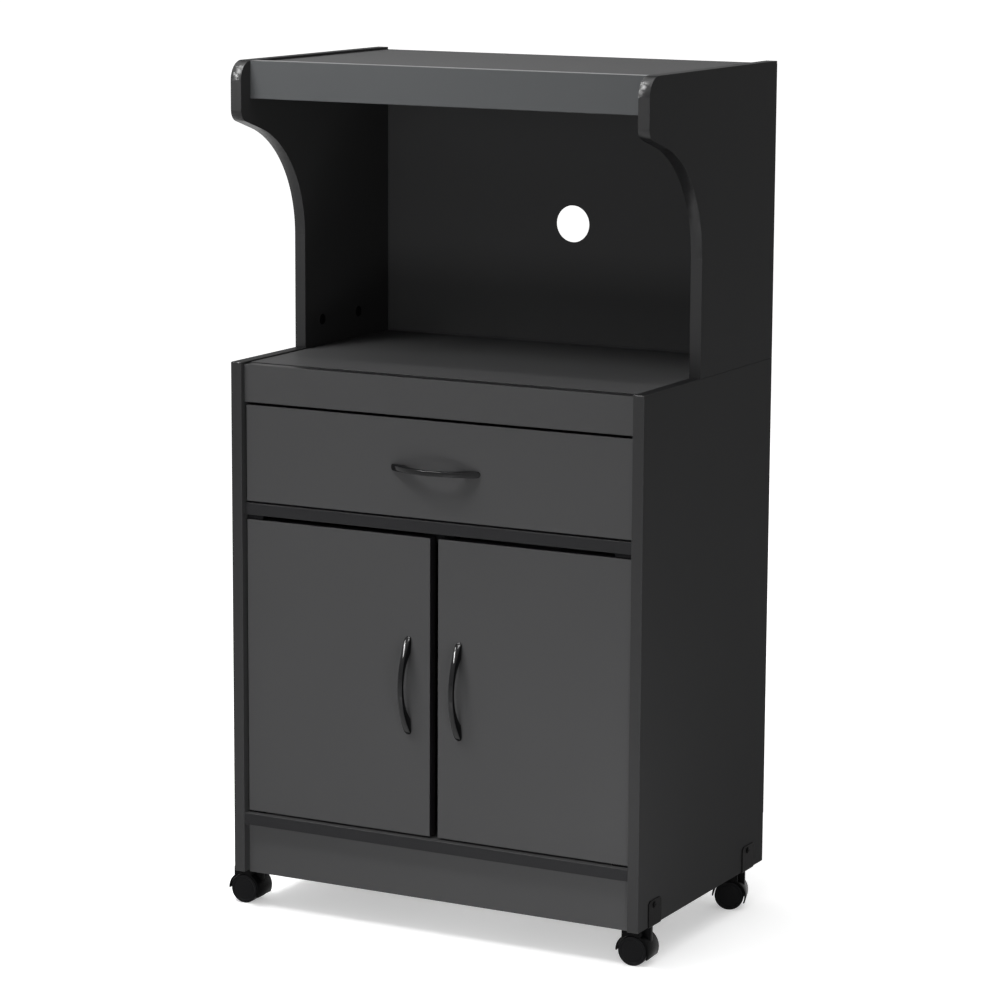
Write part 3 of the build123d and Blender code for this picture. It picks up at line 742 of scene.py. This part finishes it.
def wheel_skin(radius, segments):
    """One wheel turned about its axle: crowned tread, a raised rim, a groove and a shallow
    domed disc outside, and a flat face toward the web."""
    r = radius
    profile = rounded_steps(
        [(0, 18.0), (r * 0.30, 17.95), (r * 0.70, 17.5), (r * 0.76, 17.1), (r * 0.80, 17.9),
         (r * 0.86, 18.3), (r - 0.9, 18.2), (r - 0.15, 17.5), (r, 15.5), (r, 7.0), (r - 0.2, 4.0),
         (r * 0.93, 2.8), (0, 2.8)],
        (0, 1, 1, 0.4, 0.5, 0.6, 0.5, 0.6, 2, 2, 1, 0.6, 0), 4)
    return lathe(profile, segments)


class CABINET_OT_casters(bpy.types.Operator):
    """Builds hoods, wheels and swivel necks of the four twin-wheel casters"""

    bl_idname = "cabinet.casters"
    bl_label = "Build Casters"

    def execute(self, context):
        made = finishes()
        sizes = context.scene.cabinet_casters
        radius, trail = sizes.wheel_radius / MM, sizes.trail / MM
        half, wall = sizes.hood_width / MM / 2, sizes.hood_wall / MM
        for name in CASTERS:
            origin, along = caster_place(name)
            top = corners(f"{name}_caster_bracket")[0][2] - HOOD_CLEARANCE
            stem, stem_faces = rod(STEM_RADIUS, 0, STEM_LENGTH)
            stem = np.stack([stem[:, 0], stem[:, 2] + top, stem[:, 1]], axis=-1)
            points, faces = joined([hood_skin(trail, radius, top, half, wall), neck_skin(trail, radius, top),
                                    web_skin(trail, radius), (stem, stem_faces)])
            hood = mesh_piece(f"{name}_hood_skin", placed(points, origin, along, (0, 0, 1)), faces,
                              f"{name}_swivel", made["Hood plastic"],
                              replaces=(f"{name}_caster_hood",))
            sharpened(outward(hood))
            outer, outer_faces = wheel_skin(radius, sizes.segments)
            points, faces = joined([(outer, outer_faces), (outer * (1, 1, -1), outer_faces),
                                    rod(AXLE_RADIUS, -3, 3)])
            # The lathe's local Z is the axle
            points = np.stack([points[:, 0] + trail, points[:, 1] + radius, points[:, 2]], axis=-1)
            wheels = mesh_piece(f"{name}_wheel_skin", placed(points, origin, along, (0, 0, 1)), faces,
                                f"{name}_wheel_pair", made["Wheel plastic"],
                                replaces=(f"{name}_caster_wheels",))
            sharpened(outward(wheels), 30)
        return {"FINISHED"}


def fittings(name, parts, body, finish):
    """One piece from several closed parts, with crisp edges."""
    points, faces = joined(parts)
    sharpened(outward(mesh_piece(name, points, faces, body, finish)))


def bracket_screws(finish):
    """A screw through each bracket's upright leg into the side panel."""
    head, head_faces = screw_head(4.4, 1.6)
    parts = []
    for name in CASTERS:
        low, high = corners(f"{name}_caster_bracket")
        side, face = (1, high[0]) if low[0] > 0 else (-1, low[0])
        place = (face, (low[1] + high[1]) / 2 - 2, high[2] - BRACKET_SCREW_DROP)
        parts.append((placed(head, place, (0, side, 0), (0, 0, 1)), head_faces))
    fittings("bracket_screws", parts, "cabinet", finish)


def pull_screws(finish):
    """Two screws for each pull, on the inner face of its door or drawer front."""
    head, head_faces = screw_head(3.5, 1.6)
    for name, body, along in PULLS:
        low, high = corners(name)
        centre = (low + high) / 2
        centre[1] = corners("drawer_front" if body == "drawer" else f"{body}_panel")[1][1]
        parts = [(placed(head, centre + np.array(along) * reach, (1, 0, 0), (0, 0, -1)), head_faces)
                 for reach in (-PULL_SPACING / 2, PULL_SPACING / 2)]
        fittings(f"{name}_screws", parts, body, finish)


def cam_locks(finish):
    """Two locks low on the inner face of each hutch side."""
    profile = [(0, 0.3), (1.6, 0.3), (2.2, 0.9), (7.0, 0.7), (7.5, 0.0), (0, 0.0)]
    lock, lock_faces = lathe(rounded_steps(profile, 0.3, 3), 40)
    inner_face, foot = corners("hutch_right_side")[0][[0, 2]]
    parts = []
    for side in (-1, 1):
        for depth in LOCK_DEPTHS:
            place = (side * inner_face, depth, foot + LOCK_RISE)
            parts.append((placed(lock, place, (0, -side, 0), (0, 0, 1)), lock_faces))
    fittings("cam_locks", parts, "cabinet", finish)


class CABINET_OT_fasteners(bpy.types.Operator):
    """Builds the bracket screws, the pull screws and the cam locks"""

    bl_idname = "cabinet.fasteners"
    bl_label = "Build Fasteners"

    def execute(self, context):
        made = finishes()
        bracket_screws(made["Black powder coat"])
        pull_screws(made["Zinc plate"])
        cam_locks(made["Catch plastic"])
        return {"FINISHED"}


def seen_directly(tree):
    """1 for rays from the camera, off gloss and through glass, and 0 for the rest."""
    rays = tree.nodes.new("ShaderNodeLightPath")
    return math_node(tree, "MAXIMUM", rays.outputs["Is Camera Ray"],
                     math_node(tree, "MAXIMUM", rays.outputs["Is Glossy Ray"],
                               rays.outputs["Is Transmission Ray"]))


def photo_camera(scene):
    """The camera at the photo's angle, from its yaw, pitch and roll."""
    yaw, pitch, roll = (math.radians(turn) for turn in CAMERA_TURNS)
    ahead = Vector((math.sin(yaw) * math.cos(pitch), math.cos(yaw) * math.cos(pitch), math.sin(pitch)))
    right = Vector((math.cos(yaw), -math.sin(yaw), 0))
    up = right.cross(ahead)
    right_rolled = right * math.cos(roll) + up * math.sin(roll)
    up_rolled = up * math.cos(roll) - right * math.sin(roll)
    data = bpy.data.cameras.new("Camera")
    data.sensor_width = 36.0
    data.lens = CAMERA_LENS
    data.clip_start, data.clip_end = 0.1, 100.0
    camera = bpy.data.objects.new("Camera", data)
    scene.collection.objects.link(camera)
    turn = Matrix((right_rolled, up_rolled, -ahead)).transposed()
    camera.matrix_world = Matrix.Translation(CAMERA_PLACE) @ turn.to_4x4()
    scene.camera = camera


def pale_floor(scene, stage):
    """The floor. For the camera and for reflections it is pale, and lifted less where the object stands
    above it. This paints a shadow under the object and round the wheels' feet, on top of the shadow the
    lamps cast. The light it throws back is mid grey."""
    mesh = bpy.data.meshes.new("Floor")
    far = FLOOR_EXTENT
    mesh.from_pydata([(-far, -far, 0), (far, -far, 0), (far, far, 0), (-far, far, 0)], [], [(0, 1, 2, 3)])
    floor = bpy.data.objects.new("Floor", mesh)
    scene.collection.objects.link(floor)
    pale = bpy.data.materials.new("Pale floor")
    pale.use_nodes = True
    tree = pale.node_tree
    tree.nodes.clear()
    out = tree.nodes.new("ShaderNodeOutputMaterial")
    seen = seen_directly(tree)
    tone = node(tree, "ShaderNodeMix", data_type="RGBA", A=BOUNCED_TONE, B=SEEN_TONE)
    link(tree, seen, tone.inputs["Factor"])
    paint = node(tree, "ShaderNodeBsdfDiffuse")
    link(tree, tone.outputs["Result"], paint.inputs["Color"])
    # Painted shadow: ambient occlusion lowers the floor's lift where the object stands above it, darkening
    # the floor under the cabinet and round the wheels' feet
    painted_shade = node(tree, "ShaderNodeAmbientOcclusion", samples=8, Distance=PAINTED_SHADOW_REACH)
    raised = ranged(tree, painted_shade.outputs["AO"], low=stage.painted_shadow_lift, high=stage.open_lift)
    lift = node(tree, "ShaderNodeEmission", Color=WHITE)
    link(tree, math_node(tree, "MULTIPLY", seen, raised), lift.inputs["Strength"])
    both = tree.nodes.new("ShaderNodeAddShader")
    link(tree, paint.outputs[0], both.inputs[0])
    link(tree, lift.outputs[0], both.inputs[1])
    link(tree, both.outputs[0], out.inputs["Surface"])
    mesh.materials.append(pale)


def studio_world(scene, stage):
    """The world: white where the camera and reflections see it, a dim grey as light."""
    world = bpy.data.worlds.new("Studio")
    scene.world = world
    world.use_nodes = True
    tree = world.node_tree
    tree.nodes.clear()
    out = tree.nodes.new("ShaderNodeOutputWorld")
    light = node(tree, "ShaderNodeBackground", Color=WHITE, Strength=stage.ambient)
    shown = node(tree, "ShaderNodeBackground", Color=WHITE, Strength=1.0)
    mix = tree.nodes.new("ShaderNodeMixShader")
    link(tree, seen_directly(tree), mix.inputs["Fac"])
    link(tree, light.outputs[0], mix.inputs[1])
    link(tree, shown.outputs[0], mix.inputs[2])
    link(tree, mix.outputs[0], out.inputs["Surface"])


def studio_lights(scene, stage):
    """Even light from straight above, a soft key above the front left and two narrow strips that
    draw the highlights, then fills that the gloss doesn't mirror: a wide one in front, one
    behind, one near the floor and two small ones at the foot. Each row of the table holds a name,
    a place, the point it faces, its size and its power."""
    sun = bpy.data.lights.new("Overhead", "SUN")
    sun.energy = stage.overhead
    sun.angle = math.radians(60)
    scene.collection.objects.link(bpy.data.objects.new("Overhead", sun))
    for name, place, target, size, power in (
            ("Key", (-0.68, -1.12, 2.25), (0, -0.17, 0.9), (0.6, 0.6), stage.key_power),
            ("Strip", (-0.55, -0.42, 2.20), (-0.1, -0.2, 0.8), (0.9, 0.035), stage.strip_power),
            ("Streak", (-0.90, -1.30, 1.45), (0, -0.2, 0.4), (0.05, 0.8), stage.streak_power),
            ("Fill", (0.2, -4.2, 1.1), (0, -0.2, 0.7), (1.6, 1.6), stage.fill_power),
            ("Back", (0.3, 4.2, 1.2), (0, 0.2, 0.7), (1.6, 1.6), stage.fill_power),
            ("Low", (0.3, -2.4, 0.12), (0, -0.2, 0.1), (0.5, 0.5), stage.low_power),
            ("Foot", (-0.15, -0.95, 0.08), (-0.1, -0.2, 0.15), (0.4, 0.4), stage.foot_power),
            ("Corner", (0.58, -0.72, 0.10), (0.25, -0.2, 0.12), (0.3, 0.3), stage.corner_power)):
        lamp = bpy.data.lights.new(name, "AREA")
        lamp.shape = "RECTANGLE"
        lamp.size, lamp.size_y = size
        lamp.energy = power
        holder = bpy.data.objects.new(name, lamp)
        holder.visible_glossy = name in MIRRORED_LAMPS
        holder.visible_diffuse = name != GLOSS_LAMP
        scene.collection.objects.link(holder)
        back = (Vector(place) - Vector(target)).normalized()
        level = Vector((0, 1, 0)).cross(back).normalized()
        turn = Matrix((level, back.cross(level), back)).transposed()
        holder.matrix_world = Matrix.Translation(place) @ turn.to_4x4()


class CABINET_OT_stage(bpy.types.Operator):
    """Sets up the camera, the floor, the world and the lights"""

    bl_idname = "cabinet.stage"
    bl_label = "Set Stage"

    def execute(self, context):
        scene = context.scene
        photo_camera(scene)
        pale_floor(scene, scene.cabinet_stage)
        studio_world(scene, scene.cabinet_stage)
        studio_lights(scene, scene.cabinet_stage)
        scene.view_settings.view_transform = "Standard"
        return {"FINISHED"}


class CABINET_PT_panel(bpy.types.Panel):
    """Sizes, colours and steps of the cabinet's dressing"""

    bl_idname = "CABINET_PT_panel"
    bl_label = "Kitchen Cabinet"
    bl_space_type = "VIEW_3D"
    bl_region_type = "UI"
    bl_category = "Cabinet"

    def draw(self, context):
        layout = self.layout
        for group_name, _ in GROUPS:
            settings = getattr(context.scene, group_name)
            box = layout.box()
            for name in settings.bl_rna.properties.keys():
                if name not in ("rna_type", "name"):
                    box.prop(settings, name)
        for step in STEPS:
            layout.operator(step.bl_idname)


GROUPS = (
    ("cabinet_finish", CabinetFinish),
    ("cabinet_handles", CabinetHandles),
    ("cabinet_casters", CabinetCasters),
    ("cabinet_stage", CabinetStage),
)
STEPS = (CABINET_OT_boards, CABINET_OT_hardware, CABINET_OT_handles, CABINET_OT_casters,
         CABINET_OT_fasteners, CABINET_OT_stage)


def register():
    for name, settings in GROUPS:
        bpy.utils.register_class(settings)
        setattr(bpy.types.Scene, name, PointerProperty(type=settings))
    for entry in (*STEPS, CABINET_PT_panel):
        bpy.utils.register_class(entry)


def unregister():
    for entry in (CABINET_PT_panel, *reversed(STEPS)):
        bpy.utils.unregister_class(entry)
    for name, settings in reversed(GROUPS):
        delattr(bpy.types.Scene, name)
        bpy.utils.unregister_class(settings)


def main():
    register()
    bpy.ops.cabinet.boards()
    bpy.ops.cabinet.hardware()
    bpy.ops.cabinet.handles()
    bpy.ops.cabinet.casters()
    bpy.ops.cabinet.fasteners()
    bpy.ops.cabinet.stage()


if __name__ == "__main__":
    main()
